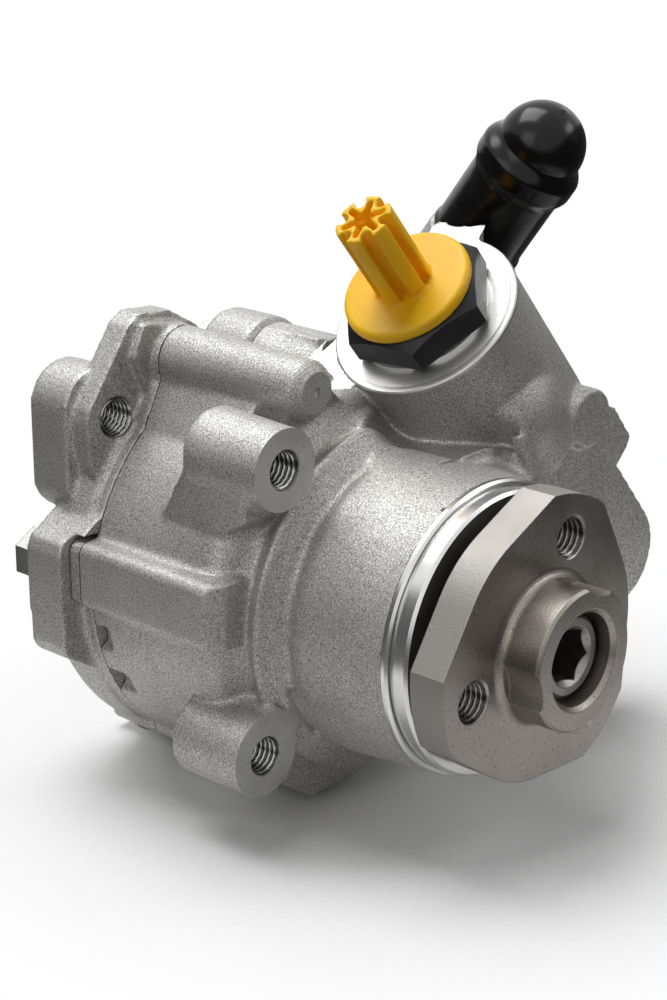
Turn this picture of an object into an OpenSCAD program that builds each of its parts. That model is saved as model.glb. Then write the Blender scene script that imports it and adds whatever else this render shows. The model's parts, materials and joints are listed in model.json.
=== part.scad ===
// Power steering pump: a vane pump in a cast aluminium housing, with a steel pulley hub on its shaft,
// a bolted rear cover, a pressure union under a transport plug and a capped suction stub.
// The shaft runs along Y. The origin is the middle of the hub's pulley seat, and the hub faces -Y.

/* [View] */
// Which piece to show

/* [Pulley hub] */
// Radius over the three lobes
hub_r = 30.6; // [29:0.1:33]
// Radius of the waist between two lobes
hub_waist_r = 26.9; // [26:0.1:28]
// Half the angle that a lobe spans
lobe_half = 15.8; // [13:0.1:18]
// Thickness of the hub's plate
hub_t = 8; // [7:0.1:9]
// Direction of the first pulley hole, from +X towards +Z
hub_turn = 71.35; // [0:0.05:119]
// Pitch circle of the pulley holes
pulley_pcd = 44; // [42:0.1:46]
// Radius of the hub's centring boss
boss_r = 14.4; // [13.8:0.1:15.2]
// Height of the centring boss over the plate
boss_h = 9.3; // [8.5:0.1:10.5]
// Radius of the boss's mouth
mouth_r = 9.4; // [9:0.05:10]

/* [Nose] */
// Radius of the turned pilot band
pilot_r = 29; // [28:0.1:30]
// Where the pilot band starts behind the pulley seat
pilot_y = 10.4; // [10:0.1:11]
// Width of the pilot band
pilot_w = 3.9; // [3:0.1:5]
// Radius of the cast nose at its front and back
nose_r0 = 30.2; // [30.1:0.05:30.6]
// Radius of the cast nose where the body starts
nose_r1 = 32.2; // [31.5:0.1:33]
// Where the nose ends in the body's shoulder
nose_y1 = 38.5; // [37:0.1:40]

/* [Body] */
// Radius of the body's barrel
body_r = 41.2; // [40.5:0.1:42]
// Parting face between housing and rear cover
part_y = 84; // [83:0.1:85.5]
// Depth of the pump chamber in the body
chamber_d = 32; // [31:0.1:33]
// Radius of the pump chamber
chamber_r = 30.4; // [30:0.1:30.8]

/* [Mounting] */
// Height of the two left mounting faces behind the pulley seat
mount_y = 40; // [39:0.1:41]
// Radius of the mounting bosses
mount_r = 8.3; // [7.8:0.1:9]
// Thread radius of the mounting and pulley holes
thread_r = 4; // [3.8:0.05:4.2]
// Depth of the mounting holes
mount_d = 16; // [12:0.5:18]
// Radius of the right-hand arm's end
arm_r = 11.85; // [11:0.05:13]

/* [Pressure port] */
// Direction of the port, from +X towards +Z
port_ang = 130; // [128:0.5:132]
// Port axis behind the pulley seat
port_y = 46.4; // [45.8:0.1:47]
// Distance of the port axis from the shaft axis
port_off = 48.5; // [47.8:0.1:49.2]
// Height of the port's machined face over the shaft axis, along the port
port_top = 30.9; // [30:0.1:32]
// Radius of the port tower
tower_r = 19.9; // [19.4:0.1:20.4]
// Across flats of the union's hexagon
union_af = 28; // [27:0.5:29]
// Height of the union's hexagon
union_h = 6.5; // [6:0.1:7.5]
// Thread radius of the union
union_r = 11; // [10.5:0.1:11.5]
// Radius of the flow valve's spool
spool_r = 7.95; // [7.5:0.05:8.2]
// Length of the flow valve's spool
spool_l = 21; // [19:0.5:22]

/* [Transport plug] */
// Radius of the plug's flange
plug_r = 13.8; // [13:0.1:14]
// Thickness of the plug's flange
plug_t = 2.6; // [2.2:0.1:3.2]
// Radius over the ribs of the plug's grip
grip_r = 6; // [5.6:0.1:6.6]
// Height of the grip over the flange
grip_h = 19.5; // [17:0.5:21]

/* [Suction port] */
// Lean of the suction stub towards the front
stub_lean = 36; // [33:0.5:39]
// Radius of the suction stub
stub_r = 8.4; // [8:0.1:8.8]
// Wall of the cap over the stub
cap_wall = 1.9; // [1.6:0.1:2.2]
// Length of the cap up to the middle of its dome
cap_l = 29.2; // [28.5:0.1:30.5]

/* [Rear cover] */
// Thickness of the cover behind the parting face
cover_t = 18; // [17:0.1:19]
// Across flats of the cover bolts
bolt_af = 10; // [9:0.5:11]
// Radius of the cover bolts' shanks
bolt_r = 2.95; // [2.8:0.05:2.98]

/* [Shaft and bearing] */
// Radius of the drive shaft
shaft_r = 8.5; // [8.3:0.05:8.7]
// Outer radius of the ball bearing
brg_or = 20; // [19.6:0.1:20.4]
// Width of the ball bearing
brg_w = 12; // [11:0.1:12.5]
// Radius of the balls' pitch circle
ball_pitch = 14.25; // [14.1:0.05:14.4]
// Radius of a ball
ball_r = 3.35; // [3.2:0.05:3.45]

/* [Pump cartridge] */
// Width of the cam ring
cam_w = 14; // [13:0.1:14.5]
// Thinnest wall of the cam ring
cam_wall = 5.1; // [4.7:0.1:5.3]
// Distance of the cam arcs from the shaft axis
cam_shift = 1.4; // [1:0.1:1.8]
// Gap between the rotor and the cam ring at its narrowest
rotor_clear = 0.5; // [0.45:0.05:0.8]
// Thickness of a vane
vane_t = 1.9; // [1.6:0.05:2]

/* [Fits] */
// Radial clearance of shafts, pins and spools
fit = 0.03; // [0.02:0.005:0.06]
// Clearance between pieces that are only dropped together
slack = 0.1; // [0.05:0.01:0.15]

/* [Hidden] */
hole_r = pulley_pcd / 2;
thread_ch = 0.5;
// pilot, lip and shoulder of the housing's nose
pilot_back = pilot_y + pilot_w;
// bearing and seal stations along the shaft
clip_y0 = pilot_y + 3;
clip_t = 1.4;
brg_y0 = clip_y0 + clip_t;
brg_y1 = brg_y0 + brg_w;
seal_r = 16;
seal_w = 6.5;
seal_y1 = brg_y1 + seal_w;
bush_or = shaft_r + 2;
bush_y0 = seal_y1 + 3;
chamber_y = part_y - chamber_d;
bush_y1 = chamber_y;
// cartridge stations, front plate first
plate_t = 7.5;
cam_y0 = chamber_y + plate_t;
cam_y1 = cam_y0 + cam_w;
back_t = 7;
back_y1 = cam_y1 + back_t;
cart_r = chamber_r - slack;
cam_r = cart_r - cam_wall - cam_shift;
rotor_r = cam_r - rotor_clear;
kidney_at = rotor_r - 2.8;
ring_r = chamber_r + 2.2;
ring_w = 0.93;
rotor_gap = 0.05;
hub_shaft_r = shaft_r - 1.2;
tail_r = 6;
pin_r = 2;
pin_at = [0, cart_r - 3.1];
slots = 10;
// conical spring behind the rear side plate
disc_in = hub_shaft_r + 5.7;
disc_out = chamber_r - 3.4;
disc_t = 0.8;
// rear bush in the cover
bush_l = 9;
slot_floor = 14;
// shaft ends
shaft_y0 = -6.2;
tail_y1 = part_y + bush_l - 0.6;
// cover bolts: top right, left, bottom, right
bolt_top = polar(chamber_r + 9.9, 72.7);
bolt_left = polar(chamber_r + 8.8, 174.3);
bolt_low = polar(chamber_r + 8.4, 250.45);
bolt_right = polar(chamber_r + 8.5, -8.9);
BOLTS = [bolt_top, bolt_left, bolt_low, bolt_right];
bolt_seat = part_y + 13.5;
bolt_in = 15;
head_h = 7.4;
flange_r = bolt_af * 0.64;
bolt_hole_r = bolt_r + 0.05;
// mounting bosses
mount_up = [-30.4, 34.4];
mount_low = [-36.4, -23.1];
arm_y = 28;
arm_end = [62.8, -4.8];
arm_hole = [50.5, -1.5];
arm_boss = [47.8, 30];
channel = [-14.9, 45.1];
ear = [-29.9, 34.9];
// radius of the cover's upper lobe, how far the left block reaches into the cover, and where the ear's pad ends
lobe_r = 10;
block_in = 3;
ear_pad = 1.9;
// port stack, along the port axis, and the step from the port's face down to the lug beside it
lug_step = 0.6;
washer_t = 0.9;
union_z0 = port_top + washer_t;
union_z1 = union_z0 + union_h;
union_in = 11;
plug_stem_r = 6.4;
flute_r = 1.2;
flute_at = grip_r - 1.2;
star_d = 2.6;
valve_r = spool_r + fit;
valve_top = port_top - union_in - 1;
valve_floor = -14;
spool_z1 = valve_top - 0.5;
spool_z0 = spool_z1 - spool_l;
spring_or = 5.6;
wire_r = 0.6;
spring_l = spool_z0 + 1.5 - valve_floor;
turns = floor((spring_l - 2 * wire_r) / (2 * wire_r + 0.22));
// suction stub, from the mouth of its boss
stub_at = [45.9, 57, 63.8];
stub_turn = 4;
gallery_ang = 43;
stub_out = 20;
bead_z = 14;
bead_h = 0.9;
stub_in = 12;
cap_r = stub_r + cap_wall;
bulge_r = cap_r + 0.75;
dome_r = cap_r - 2.3;
fn_turn = 120;
fn_rod = 64;

// points of an arc in a profile plane
function arc(c, r, a0, a1, n) = [for (i = [0:n]) c + r * [cos(a0 + (a1 - a0) * i / n), sin(a0 + (a1 - a0) * i / n)]];
function polar(r, a) = [r * cos(a), r * sin(a)];
function toward(p, q, d) = p + d * (q - p) / norm(q - p);

// body turned about the shaft axis from points of [radius, y]
module turned(pts) {
    rotate([-90, 0, 0])
        rotate_extrude($fn = fn_turn)
            polygon(pts);
}

// outline in x and z, made solid from one station along the shaft to another
module slab(y0, y1) {
    translate([0, y1, 0])
        rotate([90, 0, 0])
            linear_extrude(y1 - y0)
                children();
}

// round bar or cone parallel to the shaft, at a point in x and z
module rod(at, r0, r1, y0, y1) {
    translate([at[0], y0, at[1]])
        rotate([-90, 0, 0])
            cylinder(r1 = r0, r2 = r1, h = y1 - y0, $fn = fn_rod);
}

// flat web between two circles, bounded by their outer tangents
module web(c1, r1, c2, r2) {
    d = c2 - c1;
    t = atan2(d[1], d[0]);
    a = acos((r1 - r2) / norm(d));
    translate(c1)
        circle(r1, $fn = fn_rod);
    translate(c2)
        circle(r2, $fn = fn_rod);
    polygon([c1 + polar(r1, t + a), c2 + polar(r2, t + a), c2 + polar(r2, t - a), c1 + polar(r1, t - a)]);
}

// rectangle with two rounded corners on its left
module rounded(w, h, r) {
    translate([r, 0])
        square([w - r, h]);
    translate([0, r])
        square([w, h - 2 * r]);
    for (y = [r, h - r])
        translate([r, y])
            circle(r, $fn = fn_rod);
}

// frame of the pressure port: its z runs out of the port, its x away from the shaft
module port_frame() {
    translate([port_off * sin(port_ang), port_y, -port_off * cos(port_ang)])
        rotate([0, 90 - port_ang, 0])
            children();
}

// frame of the suction stub: its z runs out of the stub from the mouth of its boss
module stub_frame() {
    translate(stub_at)
        rotate([stub_lean, 0, stub_turn])
            children();
}

// threaded hole with a chamfered mouth, from a face at y0 inwards
module tapped(at, y0, depth) {
    rod(at, thread_r, thread_r, y0 - 1, y0 + depth);
    rod(at, thread_r + thread_ch + 0.5, thread_r, y0 - 0.5, y0 + thread_ch);
}

// outline that the housing and the cover share at the parting face
module parting_outline() {
    circle(body_r + 0.3, $fn = fn_turn);
    web(bolt_top, lobe_r - 1, [6, 30], 10);
    web(bolt_right, 6.9, [26, -4], 11);
    web(channel, 7, [-9, 32], 10);
    web(channel, 4, [-21.5, 31.5], 4.5);
    low_block();
    polygon([bolt_left + [11, 18.1], bolt_left + [2.9, 14.1], bolt_left + [-4.6, 9.4], bolt_left + [11, 9.4]]);
}

// block cast round the left cover bolt, or its pocket in the cover with room all round
module left_block(w, room) {
    translate(bolt_left - [5.7 + room, 5.7 + room])
        rounded(w + room, 14.2 + 2 * room, 2.6 + room);
}

// top view of the left block, with its slanting front end
module left_end() {
    translate([0, 0, -10])
        linear_extrude(40)
            polygon([[bolt_left[0] - 6.7, nose_y1 + 10.2], [bolt_left[0] - 1.6, nose_y1 + 8], [-20, nose_y1 + 8],
                [-20, part_y], [bolt_left[0] - 6.7, part_y]]);
}

// block cast round the lower cover bolt
module low_block() {
    polygon([bolt_low + [-13, 10.6], bolt_low + [-12.2, 1.2], bolt_low + [-3.4, -5], bolt_low + [12, -4],
        bolt_low + [17, 6.6]]);
}

module pump_housing() {
    color("silver")
        difference() {
            union() {
                housing_body();
                housing_mounts();
                housing_arm();
                housing_tower();
                stub_boss();
                suction_gallery();
            }
            housing_bores();
            port_bores();
        }
}

// nose, shoulder and barrel in one revolve
module housing_body() {
    shoulder = arc([nose_r1 + 2.3, nose_y1 - 0.6], 2.3, 180, 105, 5);
    crest = arc([nose_r1 + 1.4, nose_y1 + 4.4], 1.6, -75, 10, 5);
    brow = arc([body_r - 6, nose_y1 + 15.5], 6, -62, 0, 6);
    turned(concat(
        [[0, pilot_y], [pilot_r - 0.6, pilot_y], [pilot_r, pilot_y + 0.6], [pilot_r, pilot_back],
            [nose_r0 - 0.6, pilot_back], [nose_r0, pilot_back + 0.6]],
        shoulder, crest, brow,
        [[body_r + 0.3, part_y], [0, part_y]]));
    intersection() {
        slab(nose_y1 + 8, part_y)
            left_block(22, 0);
        left_end();
    }
    slab(part_y - 1, part_y + block_in)
        left_block(9.2, 0);
    slab(nose_y1 + 8, part_y)
        low_block();
    rod(channel, 4.4, 6.2, nose_y1 + 8, nose_y1 + 9.8);
    rod(channel, 6.2, 6.9, nose_y1 + 9.8, part_y);
    slab(nose_y1 + 12, part_y)
        web(channel, 5, [-9, 32], 10);
    slab(nose_y1 + 18.5, part_y)
        web(channel, 4, [-21.5, 31.5], 4.5);
    slab(part_y - 18, part_y)
        web(bolt_top, lobe_r - 1, [6, 30], 10);
    slab(part_y - 24, part_y)
        web(bolt_right, 6.9, [26, -4], 11);
}

// the two left mounting bosses, each on a web that runs back into the barrel
module housing_mounts() {
    rod(mount_up, mount_r, mount_r + 0.8, mount_y, mount_y + 19);
    intersection() {
        slab(mount_y + 4, mount_y + 30)
            web(mount_up, mount_r + 0.1, [-26.5, 19], 9.2);
        mount_gusset();
    }
    slab(mount_y, mount_y + 18) {
        translate(mount_low)
            circle(mount_r + 0.2, $fn = fn_rod);
        polygon([mount_low + [8, -3], mount_low + [8.2, 4], mount_low + [3.4, 9.6], mount_low + [-6.8, 5],
            mount_low + [-4, -4]]);
    }
    slab(mount_y + 7, mount_y + 18)
        web(mount_low, mount_r - 0.3, [-27, -19], 8);
}

// side view of the upper boss's web, which slopes back into the barrel
module mount_gusset() {
    translate([-60, 0, 0])
        rotate([90, 0, 90])
            linear_extrude(60)
                polygon([[mount_y, 60], [mount_y + 18, 60], [mount_y + 18, 35], [mount_y + 29, 20],
                    [mount_y + 12, 19.5], [mount_y, 27]]);
}

// arm on the right, with a rounded end, and the cast boss over it
module housing_arm() {
    slab(arm_y, arm_y + 20) {
        web(arm_end, arm_r, arm_boss, 1);
        web(arm_end, arm_r, [20, -14], 14);
        polygon([arm_end, arm_boss, [20, 34], [10, 0], [20, -14]]);
    }
    translate([9.5 * sin(port_ang), 0, -9.5 * cos(port_ang)])
        turned(concat([[0, arm_y - 9.5]], arc([pilot_r + 2.5, arm_y - 9.5], 10, 180, 92, 7),
            [[pilot_r + 2.5, nose_y1 + 10], [0, nose_y1 + 10]]));
    rod(arm_boss, 6.4, 6.8, arm_y - 2.2, arm_y + 22);
    slab(arm_y + 5, arm_y + 20)
        polygon([[40, 32], [62.5, 28.4], [66, 27], [72.2, 19.2], [71.4, 17.4], [60, 6], [40, 6]]);
}

// tower of the pressure port, and the smaller valve barrel under it
module housing_tower() {
    port_frame() {
        translate([0, 0, -8])
            cylinder(r = tower_r, h = port_top + 8, $fn = fn_turn);
        translate([0, 0, valve_floor - 4])
            cylinder(r = 13, h = 28, $fn = fn_rod);
        translate([0, 0, port_top - 14])
            linear_extrude(14 - lug_step)
                polygon([[-4, tower_r - 4], [-16.4, tower_r - 0.4], [1 - tower_r, 12], [-1.3 - tower_r, 8.1],
                    [4 - tower_r, 3]]);
    }
}

// boss that carries the suction stub, cut level with the port's face and spot-faced round the stub
module stub_boss() {
    difference() {
        union() {
            stub_frame()
                translate([0, 0, -23])
                    cylinder(r = stub_r + 2.2, h = 23, $fn = fn_rod);
            port_frame()
                translate([8, -0.6, port_top - 12])
                    cube([17.3, 12.6, 14]);
        }
        port_frame()
            translate([-40, -40, port_top])
                cube([120, 120, 60]);
        stub_frame()
            cylinder(r = bulge_r + 0.35, h = 40, $fn = fn_turn);
    }
}

// gallery that leads from the suction boss into the barrel
module suction_gallery() {
    slab(port_y + 10, part_y - 5)
        web([42, 41], 11.5, [24, 12], 16);
}

// bearing seat, seal seat, bush seat, pump chamber and all tapped holes
module housing_bores() {
    turned([[0, pilot_y - 1], [brg_or + fit + 0.8, pilot_y - 1], [brg_or + fit + 0.8, pilot_y],
        [brg_or + fit, pilot_y + 0.8], [brg_or + fit, clip_y0], [brg_or + 1.2, clip_y0],
        [brg_or + 1.2, brg_y0], [brg_or + fit, brg_y0], [brg_or + fit, brg_y1], [seal_r + fit, brg_y1],
        [seal_r + fit, seal_y1], [shaft_r + 1, seal_y1], [shaft_r + 1, bush_y0], [bush_or + fit, bush_y0],
        [bush_or + fit, chamber_y], [chamber_r, chamber_y], [chamber_r, part_y + 1], [0, part_y + 1]]);
    tapped(mount_up, mount_y, mount_d);
    tapped(mount_low, mount_y, mount_d);
    tapped(arm_hole, arm_y, mount_d);
    for (p = BOLTS)
        rod(p, bolt_hole_r, bolt_hole_r, part_y - bolt_in - 2, part_y + block_in + 1);
    rod(channel, 1.1, 0.3, nose_y1 + 7, nose_y1 + 9.5);
    rim_pocket(192, 5.2, 3.6);
    rim_pocket(208, 6, 5.6);
}

// pocket in the barrel's rim, open to the parting face
module rim_pocket(a, w, d) {
    rotate([0, -a, 0])
        translate([body_r - 2.3, part_y - d, -w / 2])
            cube([10, d + 1, w]);
}

// union thread and valve bore of the pressure port, and the suction passage
module port_bores() {
    port_frame() {
        translate([0, 0, valve_floor])
            cylinder(r = valve_r, h = port_top - valve_floor + 1, $fn = fn_rod);
        translate([0, 0, valve_top])
            cylinder(r = union_r + 0.05, h = port_top - valve_top + 1, $fn = fn_rod);
    }
    stub_frame() {
        translate([0, 0, -stub_in])
            cylinder(r = stub_r + fit, h = stub_in + 1, $fn = fn_rod);
        translate([0, 0, -26])
            cylinder(r = stub_r - 1.4, h = 20, $fn = fn_rod);
    }
    passages();
}

// cored suction passage into the chamber, and the drilling from the chamber to the flow valve
module passages() {
    translate([0, part_y - 12, 0])
        rotate([0, 90 - gallery_ang, 0])
            translate([0, 0, chamber_r - 6])
                cylinder(r = 5.6, h = 40, $fn = fn_rod);
    port_frame()
        translate([chamber_r - port_off - 3, 7.4, 2])
            rotate([0, 90, 0])
                cylinder(r = 1.6, h = port_off - chamber_r, $fn = 24);
}

module rear_cover() {
    color("silver")
        difference() {
            union() {
                slab(part_y, part_y + 4.2)
                    parting_outline();
                turned(concat([[0, part_y + 3], [body_r + 1, part_y + 3], [body_r + 1.6, part_y + 8]],
                    arc([body_r - 7.4, part_y + cover_t - 9], 9, 0, 90, 6), [[0, part_y + cover_t]]));
                cover_ear();
                cover_lobes();
            }
            cover_bores();
        }
}

// thick diamond ear with a tapped hole, a raised pad with an ejector mark, and the boss behind it
module cover_ear() {
    slab(part_y + 4, part_y + 10) {
        polygon([[-35.4, 21], [-37.4, 28.5], [-38, 34.4], [-37.2, 37.6], [-26, 53.2], [-22.8, 55.2],
            [-14.6, 54.6], [-6.8, 50], [4, 36], [-18, 16]]);
    }
    slab(part_y + ear_pad, part_y + 5)
        polygon([ear + [6.5, 18.6], ear + [14.6, 17.4], ear + [17.5, 9], ear + [11, 3], ear + [7.9, 3.1],
            ear + [6.2, 5.9], ear + [3.5, 11.7], ear + [4.6, 14.8]]);
    rod(ear + [10.1, 11.5], 1.2, 1.7, part_y + ear_pad - 0.5, part_y + ear_pad + 0.5);
    slab(part_y + 9, part_y + cover_t + 2) {
        web(ear + [-0.3, 0.6], 9.2, [-31.2, 21.4], 8.2);
        web(ear + [-0.3, 0.6], 9.2, [-12.6, 18.6], 9.4);
    }
}

// lobes of the cover round its four bolts
module cover_lobes() {
    slab(part_y + block_in + 0.3, bolt_seat)
        polygon([[-28, 22], bolt_left + [2.9, 14.1], bolt_left + [-7.2, 7.7], bolt_left + [-8.2, 5.1],
            bolt_left + [-8.2, -1.9], bolt_left + [-7.8, -14.8], bolt_left + [-6.6, -17.2],
            bolt_left + [1, -21.8], [-20, -20], [0, 22]]);
    slab(part_y + 1, bolt_seat) {
        web(bolt_top, lobe_r, [6, 30], 10);
        web(bolt_right, 7.3, [26, -4], 8);
        low_block();
    }
}

// bolt holes, tapped ear, pocket of the left block, bush seat and O-ring groove
module cover_bores() {
    for (p = BOLTS) {
        rod(p, bolt_r + 0.35, bolt_r + 0.35, part_y - 1, bolt_seat + 1);
        rod(p, flange_r + 0.6, flange_r + 0.6, bolt_seat, bolt_seat + 20);
    }
    tapped(ear, part_y + 4, cover_t);
    rod(ear, thread_r, thread_r + 1, part_y + cover_t + 1.5, part_y + cover_t + 2.5);
    slab(part_y - 1, part_y + block_in + 0.3)
        left_block(9.2, 0.3);
    turned([[0, part_y - 1], [tail_r + 2 + fit, part_y - 1], [tail_r + 2 + fit, part_y + bush_l],
        [0, part_y + bush_l]]);
    rotate([-90, 0, 0])
        translate([0, 0, part_y - 0.01])
            rotate_extrude($fn = fn_turn)
                translate([ring_r - 1.2, 0])
                    square([2.4, 2 * ring_w + 0.04]);
}

module cover_bolts() {
    color("lightgray")
        for (p = BOLTS) {
            rod(p, bolt_r, bolt_r, part_y - bolt_in, bolt_seat + 1);
            rod(p, flange_r, flange_r, bolt_seat, bolt_seat + 1.6);
            difference() {
                translate([p[0], bolt_seat, p[1]])
                    rotate([-90, 0, 0])
                        linear_extrude(head_h)
                            rotate(30)
                                circle(bolt_af / sqrt(3), $fn = 6);
                rod(p, bolt_r - 0.6, bolt_r, bolt_seat + head_h - 0.5, bolt_seat + head_h + 0.8);
            }
        }
}

module pulley_hub() {
    color("dimgray")
        difference() {
            union() {
                slab(0, hub_t)
                    hub_outline();
                turned(concat([[0, 1]], [[boss_r + 1.75, 1]], arc([boss_r + 1.75, -1.75], 1.75, 90, 180, 5),
                    [[boss_r, 0.6 - boss_h], [boss_r - 0.6, -boss_h], [0, -boss_h]]));
                rod([0, 0], shaft_r + 2.6, shaft_r + 2.6, hub_t - 1, brg_y0);
            }
            hub_cuts();
        }
}

// three lobes joined by flats that run out into a round waist
module hub_outline() {
    run = acos(hub_waist_r / hub_r);
    intersection() {
        circle(hub_r, $fn = fn_turn);
        union() {
            circle(hub_waist_r, $fn = fn_turn);
            for (i = [0:2])
                rotate(hub_turn + 120 * i)
                    lobe(polar(hub_waist_r, lobe_half + run), polar(hub_r, lobe_half));
        }
    }
}

// one lobe: both flats carried past the rim
module lobe(t, k) {
    far = toward(t, k, norm(k - t) + 6);
    polygon([[0, 0], [t[0], -t[1]], [far[0], -far[1]], far, t]);
}

// pulley holes, bolt scallops and the stepped bore
module hub_cuts() {
    for (i = [0:2]) {
        p = polar(hole_r, hub_turn + 120 * i);
        tapped(p, 0, hub_t + 1);
        rod(p, 9.2, 9.2, -boss_h - 1, -1.2);
    }
    turned([[0, -boss_h - 1], [mouth_r + 0.9, -boss_h - 1], [mouth_r + 0.9, -boss_h], [mouth_r, 0.9 - boss_h],
        [mouth_r, -2.6], [shaft_r + fit, -2.6], [shaft_r + fit, brg_y0 + 1], [0, brg_y0 + 1]]);
}

module drive_shaft() {
    color("gray")
        difference() {
            turned([[0, shaft_y0], [shaft_r - 0.8, shaft_y0], [shaft_r, shaft_y0 + 0.8],
                [shaft_r, chamber_y + 1], [hub_shaft_r, chamber_y + 1.7], [hub_shaft_r, cam_y1 + 0.1],
                [hub_shaft_r - 0.8, cam_y1 + 0.1], [hub_shaft_r - 0.8, cam_y1 + 1.5], [hub_shaft_r, cam_y1 + 1.5],
                [hub_shaft_r, back_y1 - 2], [tail_r, back_y1 - 2], [tail_r, tail_y1 - 0.6],
                [tail_r - 0.6, tail_y1], [0, tail_y1]]);
            translate([0, shaft_y0 - 1, 0])
                rotate([-90, 0, 0]) {
                    linear_extrude(11)
                        rotate(11)
                            circle(10 / sqrt(3), $fn = 6);
                    cylinder(r = 3.4, h = 25, $fn = 32);
                    cylinder(r1 = 7.2, r2 = 5, h = 2.2, $fn = fn_rod);
                }
        }
}

module bearing_outer_ring() {
    color("lightgray")
        turned_ring(brg_or, ball_pitch + 2.1, brg_y0, brg_y1);
}

module bearing_inner_ring() {
    color("lightgray")
        turned_ring(ball_pitch - 2.1, shaft_r + fit, brg_y0, brg_y1);
}

// bearing ring with its ball groove and broken corners
module turned_ring(ro, ri, y0, y1) {
    difference() {
        turned([[ri, y0 + 0.5], [ri + 0.5, y0], [ro - 0.5, y0], [ro, y0 + 0.5], [ro, y1 - 0.5], [ro - 0.5, y1],
            [ri + 0.5, y1], [ri, y1 - 0.5]]);
        translate([0, (y0 + y1) / 2, 0])
            rotate([-90, 0, 0])
                rotate_extrude($fn = fn_turn)
                    translate([ball_pitch, 0])
                        circle(ball_r + fit, $fn = 48);
    }
}

module bearing_balls() {
    color("white")
        for (i = [0:7])
            ball(i, ball_r);
}

// one ball, or its pocket, on the pitch circle
module ball(i, r) {
    translate([ball_pitch * cos(45 * i), (brg_y0 + brg_y1) / 2, ball_pitch * sin(45 * i)])
        sphere(r, $fn = 32);
}

module bearing_cage() {
    color("khaki")
        difference() {
            turned([[ball_pitch - 1, brg_y0 + 1.6], [ball_pitch + 1, brg_y0 + 1.6], [ball_pitch + 1, brg_y1 - 1.6],
                [ball_pitch - 1, brg_y1 - 1.6]]);
            for (i = [0:7])
                rotate([0, -45 * i, 0])
                    translate([0, (brg_y0 + brg_y1) / 2, 0])
                        rotate([0, 90, 0])
                            cylinder(r = ball_r + fit, h = 30, $fn = 32);
        }
}

module bearing_circlip() {
    color("dimgray")
        difference() {
            turned([[brg_or - 2.2, clip_y0 + slack / 2], [brg_or + 1.1, clip_y0 + slack / 2],
                [brg_or + 1.1, brg_y0 - 0.02], [brg_or - 2.2, brg_y0 - 0.02]]);
            translate([-4, 0, -30])
                cube([8, 40, 30]);
        }
}

module shaft_seal() {
    color("black")
        turned([[seal_r, brg_y1 + 0.1], [seal_r, seal_y1], [shaft_r + 2.4, seal_y1], [shaft_r + 2.4, seal_y1 - 1],
            [seal_r - 2, seal_y1 - 1], [seal_r - 2, brg_y1 + 3.4], [shaft_r + fit, brg_y1 + 4.2],
            [shaft_r + 0.7, brg_y1 + 2.2], [seal_r - 3, brg_y1 + 0.1]]);
}

module front_bush() {
    color("peru")
        turned([[shaft_r + fit, bush_y0], [bush_or, bush_y0], [bush_or, bush_y1 - 0.3], [shaft_r + fit, bush_y1 - 0.3]]);
}

module rear_bush() {
    color("peru")
        turned([[tail_r + fit, part_y + 0.3], [tail_r + 2, part_y + 0.3], [tail_r + 2, part_y + bush_l],
            [tail_r + fit, part_y + bush_l]]);
}

module rotor() {
    color("slategray")
        difference() {
            turned([[hub_shaft_r + fit, cam_y0 + rotor_gap], [rotor_r, cam_y0 + rotor_gap],
                [rotor_r, cam_y1 - rotor_gap], [hub_shaft_r + fit, cam_y1 - rotor_gap]]);
            for (i = [0:slots - 1])
                rotate([0, 36 * i + 18, 0])
                    translate([slot_floor, cam_y0 - 1, -vane_t / 2 - fit])
                        cube([20, cam_w + 2, vane_t + 2 * fit]);
        }
}

module vanes() {
    color("gainsboro")
        for (i = [0:slots - 1])
            rotate([0, 36 * i + 18, 0])
                translate([slot_floor, cam_y0 + rotor_gap, -vane_t / 2])
                    cube([rotor_r - slot_floor - 0.1, cam_w - 2 * rotor_gap, vane_t]);
}

module cam_ring() {
    color("gray")
        difference() {
            turned([[0, cam_y0], [cart_r - 0.5, cam_y0], [cart_r, cam_y0 + 0.5], [cart_r, cam_y1 - 0.5],
                [cart_r - 0.5, cam_y1], [0, cam_y1]]);
            for (s = [-1, 1])
                rod([s * cam_shift, 0], cam_r, cam_r, cam_y0 - 1, cam_y1 + 1);
            pins(pin_r + fit, chamber_y, part_y);
        }
}

// the two dowels that hold the cartridge in line
module pins(r, y0, y1) {
    for (s = [-1, 1])
        rod(s * pin_at, r, r, y0, y1);
}

module front_side_plate() {
    color("darkgray")
        difference() {
            turned([[shaft_r + 1, chamber_y], [cart_r, chamber_y], [cart_r, cam_y0], [shaft_r + 1, cam_y0]]);
            pins(pin_r + fit, chamber_y + 1, cam_y0 + 1);
            kidneys(cam_y0 - 3, cam_y0 + 1);
        }
}

module rear_side_plate() {
    color("darkgray")
        difference() {
            turned([[hub_shaft_r + 3, cam_y1], [cart_r, cam_y1], [cart_r, back_y1], [hub_shaft_r + 3, back_y1]]);
            pins(pin_r + fit, cam_y1 - 1, back_y1 - 1);
            kidneys(cam_y1 - 1, back_y1 + 1);
        }
}

// inlet and outlet windows of a side plate
module kidneys(y0, y1) {
    for (a = [45, 135, 225, 315])
        rod(polar(kidney_at, a), 2.4, 2.4, y0, y1);
}

module dowel_pins() {
    color("lightgray")
        pins(pin_r, chamber_y + 1, back_y1 - 1);
}

module plate_spring() {
    color("dimgray")
        turned([[disc_in, back_y1], [disc_in + 1, back_y1], [disc_out, part_y - disc_t], [disc_out, part_y],
            [disc_out - 1, part_y], [disc_in, back_y1 + disc_t]]);
}

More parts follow.
